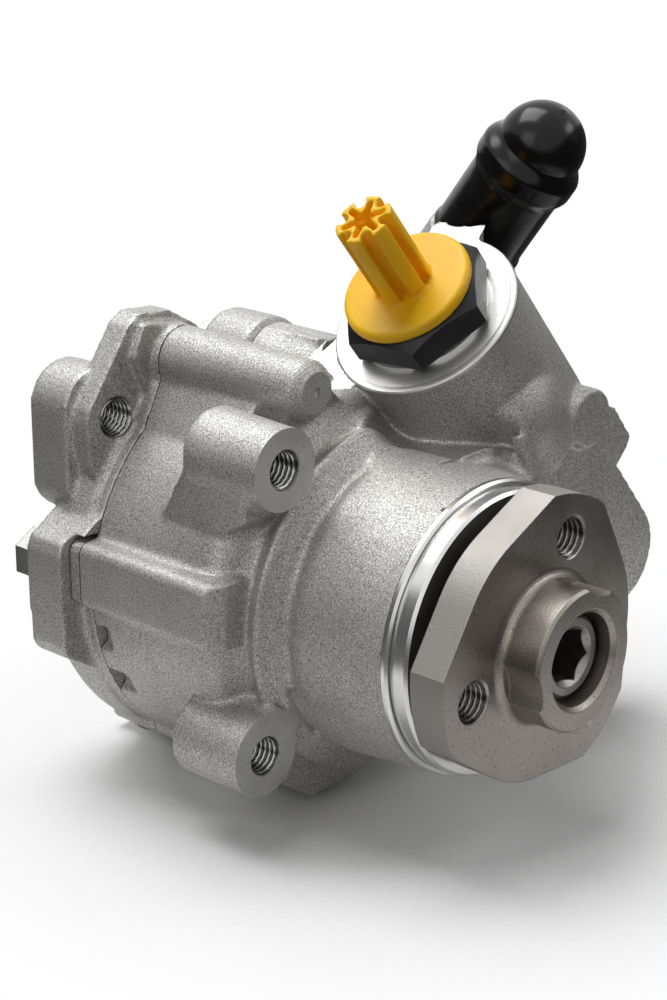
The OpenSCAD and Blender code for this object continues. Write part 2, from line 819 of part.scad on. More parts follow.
module rotor_circlip() {
    color("dimgray")
        difference() {
            turned([[hub_shaft_r - 0.7, cam_y1 + 0.15], [hub_shaft_r + 2, cam_y1 + 0.15],
                [hub_shaft_r + 2, cam_y1 + 1.45], [hub_shaft_r - 0.7, cam_y1 + 1.45]]);
            translate([-3, 0, 0])
                cube([6, 120, 30]);
        }
}

module cover_o_ring() {
    color("black")
        rotate([-90, 0, 0])
            translate([0, 0, part_y + ring_w + 0.02])
                rotate_extrude($fn = fn_turn)
                    translate([ring_r, 0])
                        circle(ring_w, $fn = 32);
}

module pressure_union() {
    color("black")
        port_frame()
            difference() {
                union() {
                    translate([0, 0, union_z0])
                        linear_extrude(union_h)
                            rotate(33)
                                circle(union_af / sqrt(3), $fn = 6);
                    translate([0, 0, port_top - union_in])
                        cylinder(r = union_r, h = union_in + 2, $fn = fn_rod);
                }
                difference() {
                    translate([0, 0, union_z0 - 1])
                        cylinder(r = 40, h = union_h + 2, $fn = fn_rod);
                    translate([0, 0, union_z0 - 2])
                        cylinder(r1 = union_af, r2 = union_af / 2 - 0.6, h = union_h + 2, $fn = fn_rod);
                    translate([0, 0, union_z0 - 2])
                        cylinder(r = union_r, h = union_h + 2, $fn = fn_rod);
                }
                translate([0, 0, port_top - union_in - 1])
                    cylinder(r = 4, h = 40, $fn = fn_rod);
                translate([0, 0, union_z1 - 14])
                    cylinder(r = plug_stem_r + 0.1, h = 20, $fn = fn_rod);
            }
}

module union_washer() {
    color("lightgray")
        port_frame()
            translate([0, 0, port_top])
                difference() {
                    cylinder(r = union_af / 2 + 0.6, h = washer_t, $fn = fn_turn);
                    translate([0, 0, -1])
                        cylinder(r = union_r + slack, h = 4, $fn = fn_rod);
                }
}

module transport_plug() {
    color("gold")
        port_frame()
            translate([0, 0, union_z1])
                difference() {
                    union() {
                        rotate_extrude($fn = fn_turn)
                            polygon(concat([[0, 0], [plug_r - 0.4, 0], [plug_r, 0.4]],
                                arc([plug_r - 1.2, plug_t - 1.2], 1.2, 0, 80, 5), [[0, plug_t + 0.5]]));
                        translate([0, 0, -10])
                            cylinder(r = plug_stem_r, h = 11, $fn = fn_rod);
                        grip();
                    }
                    translate([0, 0, -11])
                        cylinder(r = plug_stem_r - 1.6, h = 11, $fn = fn_rod);
                    translate([0, 0, plug_t + 2])
                        cylinder(r = 2, h = grip_h + 2, $fn = 32);
                    for (i = [0:5])
                        rotate(60 * i + 12)
                            translate([0, -0.65, plug_t + grip_h - star_d])
                                cube([grip_r - 1.3, 1.3, star_d + 1]);
                }
}

// star-shaped grip: a round bar with six deep flutes
module grip() {
    difference() {
        cylinder(r = grip_r, h = plug_t + grip_h, $fn = fn_rod);
        for (i = [0:5])
            rotate(60 * i + 42) {
                translate([flute_at, 0, plug_t])
                    cylinder(r = flute_r, h = grip_h + 1, $fn = 32);
                translate([flute_at, -flute_r, plug_t])
                    cube([grip_r, 2 * flute_r, grip_h + 1]);
            }
    }
}

module flow_valve_spool() {
    color("lightgray")
        port_frame()
            translate([0, 0, spool_z0])
                rotate_extrude($fn = fn_rod)
                    polygon([[0, 0], [4, 0], [4, 1.5], [spool_r, 1.5], [spool_r, 7], [5.5, 8], [5.5, 12],
                        [spool_r, 13], [spool_r, spool_l], [0, spool_l]]);
}

module valve_spring() {
    color("gray")
        port_frame()
            for (i = [0:turns])
                translate([0, 0, valve_floor + wire_r + i * (spring_l - 2 * wire_r) / turns])
                    rotate_extrude($fn = 48)
                        translate([spring_or - wire_r, 0])
                            circle(wire_r, $fn = 16);
}

module suction_stub() {
    color("lightgray")
        stub_frame()
            rotate_extrude($fn = fn_rod)
                polygon([[stub_r - 1.4, -stub_in], [stub_r, -stub_in], [stub_r, bead_z],
                    [stub_r + bead_h, bead_z + 1], [stub_r + bead_h, bead_z + 2.6], [stub_r, bead_z + 3.8],
                    [stub_r, stub_out - 0.6], [stub_r - 0.6, stub_out], [stub_r - 1.4, stub_out]]);
}

module suction_cap() {
    color("black")
        stub_frame()
            rotate_extrude($fn = fn_turn)
                polygon(concat([[stub_r + slack, 0.3], [cap_r, 0.3], [cap_r + 0.3, 0.8], [cap_r, 1.4],
                    [cap_r - 0.3, 2.2], [cap_r - 0.3, bead_z - 1.5], [bulge_r - 0.2, bead_z - 0.8],
                    [bulge_r, bead_z + 1.5]],
                    arc([bulge_r - 7, bead_z + 5], 7, 0, 45, 6), [[dome_r + 0.2, cap_l - 2]],
                    arc([0, cap_l], dome_r, 0, 90, 10), arc([0, cap_l], dome_r - 1.8, 90, 0, 8),
                    [[dome_r - 1.8, cap_l - 4], [stub_r + slack, stub_out + 0.3],
                    [stub_r + slack, bead_z + 4.6], [stub_r + bead_h + slack, bead_z + 3.2],
                    [stub_r + bead_h + slack, bead_z + 0.4], [stub_r + slack, bead_z - 1]]));
}

pump_housing();
rear_cover();
cover_bolts();
pulley_hub();
drive_shaft();
bearing_outer_ring();
bearing_inner_ring();
bearing_balls();
bearing_cage();
bearing_circlip();
shaft_seal();
front_bush();
rear_bush();
rotor();
vanes();
cam_ring();
front_side_plate();
rear_side_plate();
dowel_pins();
plate_spring();
rotor_circlip();
cover_o_ring();
pressure_union();
union_washer();
transport_plug();
flow_valve_spool();
valve_spring();
suction_stub();
suction_cap();
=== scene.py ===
import json
from math import cos, radians, sin

import bmesh
import bpy
import numpy as np
from mathutils import Matrix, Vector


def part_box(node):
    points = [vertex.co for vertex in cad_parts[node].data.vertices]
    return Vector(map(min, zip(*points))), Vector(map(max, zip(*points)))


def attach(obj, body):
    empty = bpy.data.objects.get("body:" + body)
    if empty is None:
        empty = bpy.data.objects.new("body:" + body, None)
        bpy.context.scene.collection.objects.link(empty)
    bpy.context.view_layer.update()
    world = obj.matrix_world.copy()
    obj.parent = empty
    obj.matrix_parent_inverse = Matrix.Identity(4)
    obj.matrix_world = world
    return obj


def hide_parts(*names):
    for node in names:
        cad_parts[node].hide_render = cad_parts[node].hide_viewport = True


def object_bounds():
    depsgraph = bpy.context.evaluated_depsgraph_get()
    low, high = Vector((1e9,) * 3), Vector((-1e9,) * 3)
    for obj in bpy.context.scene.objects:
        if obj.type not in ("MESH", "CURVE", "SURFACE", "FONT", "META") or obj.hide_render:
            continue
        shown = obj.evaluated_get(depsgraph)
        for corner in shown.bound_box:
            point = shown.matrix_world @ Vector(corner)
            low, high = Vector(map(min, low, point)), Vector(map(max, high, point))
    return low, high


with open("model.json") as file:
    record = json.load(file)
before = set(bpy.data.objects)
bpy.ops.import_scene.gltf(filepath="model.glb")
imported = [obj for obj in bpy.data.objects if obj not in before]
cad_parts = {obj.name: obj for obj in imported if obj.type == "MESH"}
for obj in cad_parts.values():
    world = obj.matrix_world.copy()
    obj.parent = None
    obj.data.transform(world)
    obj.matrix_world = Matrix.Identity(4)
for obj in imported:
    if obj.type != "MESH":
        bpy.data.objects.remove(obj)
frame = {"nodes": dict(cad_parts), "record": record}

cad_box = [list(corner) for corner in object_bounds()]
MM = 0.001
nodes = frame["nodes"]
mounts = {m["name"]: m for m in frame["record"]["mounts"]}


# Housing and rear cover: two aluminium die castings, shot blasted all over, then milled on the mounting
# faces, the port face and the parting face. Every edge of the mould is rounded and every corner filled,
# and only the milled faces end in crisp edges.
def welded(mesh, dist=0.002 * MM):
    """A mesh with its doubled points joined and the slivers that leaves taken out."""
    shape = bmesh.new()
    shape.from_mesh(mesh)
    bmesh.ops.remove_doubles(shape, verts=shape.verts, dist=dist)
    bmesh.ops.dissolve_degenerate(shape, edges=shape.edges, dist=dist / 2)
    shape.to_mesh(mesh)
    shape.free()
    return mesh


def points_of(mesh):
    """All of a mesh's points as an array of three columns."""
    co = np.empty(3 * len(mesh.vertices), np.float32)
    mesh.vertices.foreach_get("co", co)
    return co.reshape(-1, 3).astype(float)


def from_axis(co, at, axis):
    """Height of each point along an axis, and its distance from that axis."""
    rise = (co - at) @ axis
    return rise, np.linalg.norm(co - at - rise[:, None] * axis, axis=1)


def settle(mesh, share, filling, rounding):
    """Each round, a point moves part of the way to the mean of its neighbours. In the first rounds it may
    move only outwards along its normal, which fills inner corners, and in the last ones freely, which
    rounds outer edges."""
    co = points_of(mesh)
    ends = np.empty(2 * len(mesh.edges), np.int32)
    mesh.edges.foreach_get("vertices", ends)
    corner = np.empty(4 * len(mesh.polygons), np.int32)
    mesh.polygons.foreach_get("vertices", corner)
    a, b = ends.reshape(-1, 2).T
    q = corner.reshape(-1, 4)
    count = np.bincount(ends, minlength=len(co))[:, None]
    for turn in range(filling + rounding):
        total = [np.bincount(a, co[b, k], len(co)) + np.bincount(b, co[a, k], len(co)) for k in range(3)]
        shift = np.stack(total, axis=1) / count - co
        if turn < filling:
            face = np.cross(co[q[:, 2]] - co[q[:, 0]], co[q[:, 3]] - co[q[:, 1]])
            normal = [np.bincount(corner, np.repeat(face[:, k], 4), len(co)) for k in range(3)]
            normal = np.stack(normal, axis=1)
            normal /= np.linalg.norm(normal, axis=1)[:, None] + 1e-30
            shift = np.maximum((shift * normal).sum(axis=1), 0)[:, None] * normal
        co += share[:, None] * shift
    return co


def modified(name, mesh, kind, **settings):
    """A mesh as one of Blender's modifiers leaves it."""
    blank = bpy.data.objects.new(name + "_blank", mesh)
    bpy.context.scene.collection.objects.link(blank)
    change = blank.modifiers.new(kind.lower(), kind)
    for key, value in settings.items():
        setattr(change, key, value)
    ready = blank.evaluated_get(bpy.context.evaluated_depsgraph_get())
    made = bpy.data.meshes.new_from_object(ready)
    bpy.data.objects.remove(blank)
    return made


def put(mesh, co):
    """Writes an array of points back into a mesh."""
    mesh.vertices.foreach_set("co", co.astype(np.float32).ravel())


def step(h, low, high):
    """Smooth step from 0 to 1 between two heights."""
    t = np.clip((h - low) / (high - low), 0, 1)
    return t * t * (3 - 2 * t)


def casting(name, node, body, finishes, voxel, filling, rounding,
            milled=(), bored=(), turned_down=(), carve=None, most=190000):
    """A CAD node as a casting. Its milled faces first stand out by an allowance, and the solid is rebuilt
    on an even grid whose points settle, which fills corners and rounds edges. Points beyond a milled
    face are then pressed back to its plane, and points in a bore keep their place. A carved form is cut
    before the points settle. A milled face is given as (point, axis, reach), a bore or a turned length as
    (point, axis, radius, start, end), and most is the number of triangles that are kept."""
    allowance, touching = 1.4 * MM, 0.02 * MM
    mesh = welded(nodes[node].data.copy())
    co = points_of(mesh)
    raised = np.zeros(len(co), bool)
    for at, axis, reach in milled:
        rise, off = from_axis(co, at, axis)
        face = (abs(rise) < touching) & (off < reach) & ~raised
        co[face] += allowance * axis
        raised |= face
    put(mesh, co)
    cast = modified(name, mesh, "REMESH", mode="VOXEL", voxel_size=voxel)
    if carve:
        put(cast, carve(points_of(cast)))
        cast = modified(name, cast, "REMESH", mode="VOXEL", voxel_size=voxel)
    co = points_of(cast)
    share = np.full(len(co), 0.5)
    for at, axis, radius, low, high in bored:
        rise, off = from_axis(co, at, axis)
        share[(off < radius) & (rise > low) & (rise < high)] = 0
    put(cast, settle(cast, share, filling, rounding))
    cast = modified(name, cast, "DECIMATE", ratio=min(1, most / (2 * len(cast.polygons))))
    co = points_of(cast)
    cut = np.zeros(len(co), bool)
    for at, axis, reach in milled:
        rise, off = from_axis(co, at, axis)
        near = (abs(rise) < 2 * allowance) & (off < reach) & ~cut
        co[near] -= np.maximum(rise[near, None], 0) * axis
        cut |= near
    for at, axis, radius, low, high in turned_down:
        rise, off = from_axis(co, at, axis)
        under = (off > radius) & (off < 1.2 * radius) & (rise > low) & (rise < high)
        foot = at + rise[:, None] * axis
        co[under] = (foot + (co - foot) * (radius / off)[:, None])[under]
    put(cast, co)
    welded(cast, touching)
    cast.materials.clear()
    for finish in finishes:
        cast.materials.append(finish)
    centre = np.empty(3 * len(cast.polygons), np.float32)
    cast.polygons.foreach_get("center", centre)
    centre = centre.reshape(-1, 3).astype(float)
    index = np.zeros(len(centre), np.int32)
    for at, axis, reach in milled:
        rise, off = from_axis(centre, at, axis)
        index[(abs(rise) < touching / 2) & (off < reach)] = 1
    cast.polygons.foreach_set("material_index", index)
    cast.polygons.foreach_set("use_smooth", np.ones(len(index), bool))
    cast.set_sharp_from_angle(angle=radians(38))
    piece = bpy.data.objects.new(name, cast)
    bpy.context.scene.collection.objects.link(piece)
    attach(piece, body)
    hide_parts(node)


def place(name):
    """A mount's position in the frame, as an array."""
    return np.array(mounts[name]["pos_m"], float)


def add(tree, kind, inputs=(), **settings):
    """A shader node with its settings made and its inputs given as values or linked sockets."""
    made = tree.nodes.new("ShaderNode" + kind)
    for key, value in settings.items():
        setattr(made, key, value)
    for key, value in dict(inputs).items():
        if isinstance(value, bpy.types.NodeSocket):
            tree.links.new(value, made.inputs[key])
        else:
            made.inputs[key].default_value = value
    return made


def grain_group():
    """Blasted or sintered metal: a slow mottle, a fine grain and scattered pits, each from 0 to 1."""
    tree = bpy.data.node_groups.new("metal_grain", "ShaderNodeTree")
    for name in ("Mottle scale", "Grain scale", "Pit scale"):
        tree.interface.new_socket(name, in_out="INPUT", socket_type="NodeSocketFloat")
    for name in ("Mottle", "Grain", "Pits", "Height"):
        tree.interface.new_socket(name, in_out="OUTPUT", socket_type="NodeSocketFloat")
    given = tree.nodes.new("NodeGroupInput").outputs
    where = add(tree, "TexCoord").outputs["Object"]
    mottle = add(tree, "TexNoise", {"Vector": where, "Scale": given["Mottle scale"],
                                    "Detail": 4.0, "Roughness": 0.6})
    grain = add(tree, "TexNoise", {"Vector": where, "Scale": given["Grain scale"],
                                   "Detail": 2.5, "Roughness": 0.65})
    cells = add(tree, "TexVoronoi", {"Vector": where, "Scale": given["Pit scale"], "Randomness": 1.0})
    rare = add(tree, "MapRange", {"Value": cells.outputs["Color"], "From Min": 0.62, "From Max": 0.7})
    deep = add(tree, "MapRange", {"Value": cells.outputs["Distance"], "From Min": 0.12, "From Max": 0.3,
                                  "To Min": 1.0, "To Max": 0.0})
    pits = add(tree, "Math", {0: rare.outputs[0], 1: deep.outputs[0]}, operation="MULTIPLY")
    spread = add(tree, "MapRange", {"Value": grain.outputs["Fac"], "From Min": 0.3, "From Max": 0.7})
    height = add(tree, "Math", {0: pits.outputs[0], 1: -0.8, 2: spread.outputs[0]}, operation="MULTIPLY_ADD")
    out = tree.nodes.new("NodeGroupOutput").inputs
    tree.links.new(mottle.outputs["Fac"], out["Mottle"])
    tree.links.new(spread.outputs[0], out["Grain"])
    tree.links.new(pits.outputs[0], out["Pits"])
    tree.links.new(height.outputs[0], out["Height"])
    return tree


METAL_GRAIN = grain_group()


def ramp(tree, fac, *stops):
    """Colour ramp through stops of (place, colour)."""
    made = add(tree, "ValToRGB", {"Fac": fac})
    while len(made.color_ramp.elements) < len(stops):
        made.color_ramp.elements.new(0.5)
    for element, (at, colour) in zip(made.color_ramp.elements, stops):
        element.position = at
        element.color = (*colour, 1)
    return made.outputs["Color"]


def finish(name, **fixed):
    """A material with one Principled shader, and the constant values of its sockets."""
    made = bpy.data.materials.new(name)
    made.use_nodes = True
    shader = made.node_tree.nodes["Principled BSDF"]
    for key, value in fixed.items():
        shader.inputs[key.replace("_", " ")].default_value = value
    return made, made.node_tree, shader.inputs


def grained(tree, mottle, grain, pits):
    """The metal grain group placed in a material with that material's own scales, per metre."""
    made = tree.nodes.new("ShaderNodeGroup")
    made.node_tree = METAL_GRAIN
    for key, value in (("Mottle scale", mottle), ("Grain scale", grain), ("Pit scale", pits)):
        made.inputs[key].default_value = value
    return made.outputs


def times(tree, a, b, factor):
    """Colour a multiplied by colour or mask b, by a share."""
    made = add(tree, "Mix", {"Factor": factor}, data_type="RGBA", blend_type="MULTIPLY")
    tree.links.new(a, made.inputs["A"])
    tree.links.new(b, made.inputs["B"])
    return made.outputs["Result"]


def blasted_aluminium():
    """Grey casting skin: salt and pepper grain, slow stains and dark pits, and painted shade in the joint of
    the two castings, standing for the shadow in the gap between them, on walls within a narrow band either
    side of the parting plane."""
    made, tree, shader = finish("blasted_aluminium", Metallic=0.55)
    metal = grained(tree, 55, 3200, 700)
    tone = ramp(tree, metal["Mottle"], (0.3, (0.40, 0.393, 0.38)), (0.7, (0.50, 0.493, 0.478)))
    speck = ramp(tree, metal["Grain"], (0.1, (0.45, 0.445, 0.44)), (0.5, (0.93, 0.93, 0.93)),
                 (0.9, (1.5, 1.5, 1.5)))
    hole = ramp(tree, metal["Pits"], (0.0, (1, 1, 1)), (1.0, (0.62, 0.61, 0.6)))
    along = add(tree, "SeparateXYZ", {0: add(tree, "TexCoord").outputs["Object"]}).outputs["Y"]
    # Painted shade: walls near the parting plane are darkened, standing for the shadow in the gap between the
    # castings.
    near = add(tree, "Math", {0: along, 1: parting[1], 2: 0.22 * MM}, operation="COMPARE")
    facing = add(tree, "NewGeometry").outputs["Normal"]
    lean = add(tree, "VectorMath", {0: facing, 1: (0, 1, 0)}, operation="DOT_PRODUCT")
    wall = add(tree, "Math", {0: lean.outputs["Value"], 1: 0.0, 2: 0.6}, operation="COMPARE")
    joint = add(tree, "Math", {0: near.outputs[0], 1: wall.outputs[0]}, operation="MULTIPLY")
    joint_shade = ramp(tree, joint.outputs[0], (0.0, (1, 1, 1)), (1.0, (0.1, 0.095, 0.09)))
    skin = times(tree, times(tree, tone, speck, 1.0), hole, 0.8)
    tree.links.new(times(tree, skin, joint_shade, 1.0), shader["Base Color"])
    dull = add(tree, "MapRange", {"Value": metal["Grain"], "To Min": 0.62, "To Max": 0.42})
    tree.links.new(dull.outputs[0], shader["Roughness"])
    bump = add(tree, "Bump", {"Height": metal["Height"], "Strength": 0.6, "Distance": 0.06 * MM})
    tree.links.new(bump.outputs[0], shader["Normal"])
    return made


def milled_aluminium():
    """Bright milled face: fine cutter lines one way, a little grain showing through."""
    made, tree, shader = finish("milled_aluminium", Metallic=1.0)
    metal = grained(tree, 90, 1500, 700)
    where = add(tree, "TexCoord").outputs["Object"]
    turn = add(tree, "Mapping", {"Vector": where, "Rotation": (0.3, 0.7, 0.5), "Scale": (6000, 300, 300)})
    lines = add(tree, "TexNoise", {"Vector": turn.outputs[0], "Scale": 1.0, "Detail": 2.0})
    tone = ramp(tree, metal["Mottle"], (0.25, (0.42, 0.417, 0.41)), (0.75, (0.56, 0.557, 0.55)))
    hole = ramp(tree, metal["Pits"], (0.0, (1, 1, 1)), (1.0, (0.55, 0.55, 0.54)))
    tree.links.new(times(tree, tone, hole, 0.5), shader["Base Color"])
    dull = add(tree, "MapRange", {"Value": lines.outputs["Fac"], "To Min": 0.34, "To Max": 0.5})
    tree.links.new(dull.outputs[0], shader["Roughness"])
    bump = add(tree, "Bump", {"Height": lines.outputs["Fac"], "Strength": 0.2, "Distance": 0.05 * MM})
    tree.links.new(bump.outputs[0], shader["Normal"])
    return made


parting = np.array([0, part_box("rear_cover")[0].y, 0])
BLASTED = blasted_aluminium()
MILLED = milled_aluminium()
FRONT = np.array([0.0, -1.0, 0.0])
REAR = -FRONT
thread_lead = 0.5 * MM
tapped_r = 5.4 * MM
union_stand, stub_stand = 7.4 * MM, 20 * MM
port_axis = np.array(mounts["pressure_port"]["axis"], float)
port_face = place("pressure_port") - union_stand * port_axis
suction_axis = np.array(mounts["suction_port"]["axis"], float)
suction_mouth = place("suction_port") - stub_stand * suction_axis
nose = np.array([0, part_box("pump_housing")[0].y, 0])
outward = np.array([port_axis[2], 0, -port_axis[0]])
lug = port_face - 0.6 * MM * port_axis - 15 * MM * outward + 12.5 * MM * REAR
stub_block = port_face + 20.5 * MM * outward + 5.7 * MM * REAR

# Sizes of the mould's forms below. The lists and the beads' places, widths and heights are in mm.
port_off, tower_r = 48.5 * MM, 19.4 * MM
body_y, body_r = [10, 37.9, 40.1, 43.2, 48.7, 54], [30, 32.2, 33.9, 35.2, 38, 41.2]
ridge_y, ridge_m = [20, 23.6, 28.5, 36, 40.3], [26.7, 25.6, 22.5, 21.3, 18.6]
flare_off, flare_r, flare_y, flare_turn = 9.5 * MM, 31.5 * MM, 18.5 * MM, 10 * MM
web_front, web_rear = 18 * MM, 49.2 * MM
sink, undercut = 10 * MM, 4.5 * MM
dome_m, dome_n, dome_wide, dome_tall, dome_high = 38 * MM, 7.5 * MM, 16.5 * MM, 9.5 * MM, 4.2 * MM
dome_way = 0.94 * FRONT - 0.34 * outward
beads = ((42.6, 1.5, 1.9), (38.9, 1.9, -1.1), (46.8, 2.2, -1.8))
flat_wall, wall_reach, wall_deep = 11.5 * MM, 20 * MM, 9 * MM


def body_round(y):
    """Radius of the nose and barrel at a depth y, in straight runs between the sizes above."""
    return np.interp(y / MM, body_y, body_r) * MM


def sunk_web(m, y, n):
    """Change along the port axis: the web between the nose and the port tower sinks by 10 mm, less near
    the front, and stops at the round of the nose, which is cut deeper behind a ridge. Soft edges keep it
    off the tower and inside a flare round the nose."""
    body = body_round(y)
    ridge = np.interp(y / MM, ridge_y, ridge_m) * MM
    neck = np.sqrt(np.clip(flare_turn ** 2 - (y - flare_y) ** 2, 0, None)) * (y < flare_y + flare_turn)
    beyond = np.hypot(m - flare_off, n) - (flare_r - neck)
    from_port = np.hypot(m - port_off, y - port_face[1])
    web = (1 - step(beyond, 0.3 * MM, 2 * MM)) * step(from_port, tower_r, tower_r + 0.8 * MM)
    web *= (y > web_front) & (y < web_rear) & (np.hypot(m, n) > body + 0.05 * MM)
    deep = step(y, 22 * MM, 31 * MM)
    round_r = body - undercut * deep * step(m - ridge, 0.5 * MM, 4.5 * MM)
    round_n = np.where(m < round_r, np.sqrt(np.clip(round_r ** 2 - m ** 2, 0, None)), -1)
    low = np.maximum(n - sink * deep * step(n, -6 * MM, 6 * MM), round_n)
    return web * (low - n)


def wall_dome(m, y, n):
    """Change forwards of the wall under the tower: a dome over an ellipse, faded out towards the nose."""
    from_port = np.hypot(m - port_off, y - port_face[1])
    dome = 1 - ((m - dome_m) / dome_wide) ** 2 - ((n - dome_n) / dome_tall) ** 2
    return dome_high * np.clip(dome, 0, 1) * step(m, 29 * MM, 37 * MM) * (y < 42 * MM) * (from_port > 15 * MM)


def nose_bead(m, y, n):
    """Change of radius where the nose meets the barrel: a bead between two hollows, each a bell curve."""
    bells = [high * np.exp(-(((y - at * MM) / (wide * MM)) ** 2)) for at, wide, high in beads]
    on_skin = abs(np.hypot(m, n) - body_round(y)) < 1.3 * MM
    return MM * sum(bells) * on_skin * (1 - step(m, 20 * MM, 24 * MM))


def trimmed_horns(co):
    """Change of the points of the block that stand round the suction stub, back to one flat wall."""
    rise, off = from_axis(co, suction_mouth, suction_axis)
    side = stub_block - suction_mouth
    side -= (side @ suction_axis) * suction_axis
    side /= np.linalg.norm(side)
    gap = flat_wall - (co - suction_mouth) @ side
    horn = (rise > 0.1 * MM) & (off < wall_reach) & (gap > 0) & (gap < wall_deep)
    return np.where(horn, gap, 0)[:, None] * side


def valley(co):
    """Forms of the mould between the nose, the port tower and the suction stub, with points taken apart
    into the way outward m, the depth y and the height n along the port axis."""
    m, y, n = co @ outward, co[:, 1], co @ port_axis
    lift = sunk_web(m, y, n)[:, None] * port_axis + wall_dome(m, y, n)[:, None] * dome_way
    lift += trimmed_horns(co)
    return co + lift + (nose_bead(m, y, n) / np.hypot(m, n))[:, None] * co * [1, 0, 1]


casting(
    "housing_casting", "pump_housing", "housing", [BLASTED, MILLED],
    voxel=0.5 * MM, filling=4, rounding=3, carve=valley,
    milled=[(parting, REAR, 90 * MM), (port_face, port_axis, 19.95 * MM), (lug, port_axis, 8.5 * MM),
            (stub_block, port_axis, 9.2 * MM), (nose, FRONT, 40 * MM),
            (place("mount_upper") + thread_lead * FRONT, FRONT, 12 * MM),
            (place("mount_lower") + thread_lead * FRONT, FRONT, 14 * MM)],
    bored=[(nose, REAR, 21.6 * MM, -3 * MM, 27 * MM), (nose, REAR, 31.3 * MM, 40 * MM, 90 * MM),
           (port_face, -port_axis, 12 * MM, -3 * MM, 46 * MM),
           (suction_mouth, -suction_axis, 9.3 * MM, -3 * MM, 30 * MM)]
    + [(place(n), REAR, tapped_r, -4 * MM, 18 * MM) for n in ("mount_upper", "mount_lower", "mount_arm")],
    turned_down=[(nose, REAR, 28.4 * MM, -2 * MM, 5.2 * MM)])
casting(
    "cover_casting", "rear_cover", "housing", [BLASTED, MILLED],
    voxel=0.5 * MM, filling=4, rounding=3,
    bored=[(parting, REAR, 35.5 * MM, -1 * MM, 12 * MM),
           (place("cover_ear"), FRONT, tapped_r, -4 * MM, 20 * MM)])


# Pilot band: the front of the nose is turned in a lathe to locate the pump, so it is a bright ring with
# sharp shoulders and fine tool lines, and the cast skin starts behind its groove.
def grid_mesh(name, co, closed_v=False):
    """Quads over a grid of points of shape (v, u, 3). The grid closes on itself along u, and along v if
    asked."""
    rows, columns = co.shape[:2]
    v, u = np.meshgrid(np.arange(rows - (not closed_v)), np.arange(columns), indexing="ij")
    v1, u1 = (v + 1) % rows, (u + 1) % columns
    quads = np.stack([v * columns + u, v * columns + u1, v1 * columns + u1, v1 * columns + u], axis=-1)
    mesh = bpy.data.meshes.new(name)
    mesh.from_pydata(co.reshape(-1, 3), [], quads.reshape(-1, 4))
    mesh.polygons.foreach_set("use_smooth", np.ones(len(mesh.polygons), bool))
    return mesh


def around(axis):
    """Two unit vectors that make a right-handed frame with an axis."""
    side = np.cross(axis, [0, 0, 1.0])
    side /= np.linalg.norm(side)
    return side, np.cross(axis, side)


def turned(name, at, axis, profile, steps=160):
    """Closed ring turned about an axis: a profile of (radius, height), up the outer wall and down the inner
    one, goes once round the axis."""
    side, up = around(axis)
    a = np.linspace(0, 2 * np.pi, steps, endpoint=False)
    r, h = np.array(profile).T
    spoke = np.cos(a)[:, None] * side + np.sin(a)[:, None] * up
    co = at + h[:, None, None] * axis + r[:, None, None] * spoke
    return welded(grid_mesh(name, co, closed_v=True))


def shown(name, mesh, body, finishes, sharp=35):
    """A new piece in the scene, on its body, with its finishes."""
    mesh.set_sharp_from_angle(angle=radians(sharp))
    for f in finishes:
        mesh.materials.append(f)
    piece = bpy.data.objects.new(name, mesh)
    bpy.context.scene.collection.objects.link(piece)
    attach(piece, body)
    return piece


def turned_aluminium(name, dark, light):
    """Bright turned metal: fine tool lines round the axis of the shaft."""
    made, tree, shader = finish(name, Metallic=1.0)
    where = add(tree, "TexCoord").outputs["Object"]
    along = add(tree, "Mapping", {"Vector": where, "Scale": (25, 5200, 25)})
    lines = add(tree, "TexNoise", {"Vector": along.outputs[0], "Scale": 1.0, "Detail": 3.0})
    smear = add(tree, "TexNoise", {"Vector": where, "Scale": 70.0, "Detail": 3.0})
    tone = ramp(tree, smear.outputs["Fac"], (0.3, dark), (0.7, light))
    tree.links.new(tone, shader["Base Color"])
    dull = add(tree, "MapRange", {"Value": lines.outputs["Fac"], "To Min": 0.18, "To Max": 0.32})
    tree.links.new(dull.outputs[0], shader["Roughness"])
    bump = add(tree, "Bump", {"Height": lines.outputs["Fac"], "Strength": 0.12, "Distance": 0.04 * MM})
    tree.links.new(bump.outputs[0], shader["Normal"])
    return made


TURNED = turned_aluminium("turned_aluminium", (0.60, 0.60, 0.595), (0.78, 0.78, 0.77))
pilot_r, nose_r, bearing_r = 29.03 * MM, 30.25 * MM, 20.3 * MM
band = [(bearing_r + 0.8 * MM, 0.0), (pilot_r - 0.6 * MM, 0.0), (pilot_r, 0.6 * MM), (pilot_r, 3.35 * MM),
        (pilot_r - 0.45 * MM, 3.5 * MM), (pilot_r - 0.45 * MM, 3.9 * MM), (nose_r - 0.5 * MM, 3.9 * MM),
        (nose_r, 4.35 * MM), (nose_r, 5.2 * MM), (nose_r - 0.5 * MM, 5.4 * MM),
        (bearing_r + 0.8 * MM, 5.4 * MM)]
band_front = nose + 0.02 * MM * FRONT
pilot_band = turned("pilot_band", band_front, REAR, band)
shown("pilot_band", pilot_band, "housing", [TURNED])


# Port rim: the milled port face of the housing ends in a narrow turned rim with a broken edge, which
# stands a little proud of the lug beside it. Radius and height of its profile in mm.
rim = np.array([(18.6, -1.0), (20.15, -1.0), (20.15, -0.25), (19.85, 0.03), (18.7, 0.03), (18.6, 0.0)]) * MM
port_rim = turned("port_rim", port_face, port_axis, rim)
shown("port_rim", port_rim, "housing", [MILLED])


# Channel end: the oil channel that runs along the housing ends in a cast pad, flat in front and centre
# drilled so that the next drill starts true.
channel = np.array([-14.9, 46.5, 45.1]) * MM
pad = np.array([(0, 2.6), (0.6, 2.1), (1.0, 1.4), (1.1, -0.25), (4.2, -0.25), (5.6, 1.1), (5.6, 3.0),
                (0, 3.0)]) * MM
channel_end = turned("channel_end", channel, REAR, pad, steps=72)
shown("channel_end", channel_end, "housing", [BLASTED])


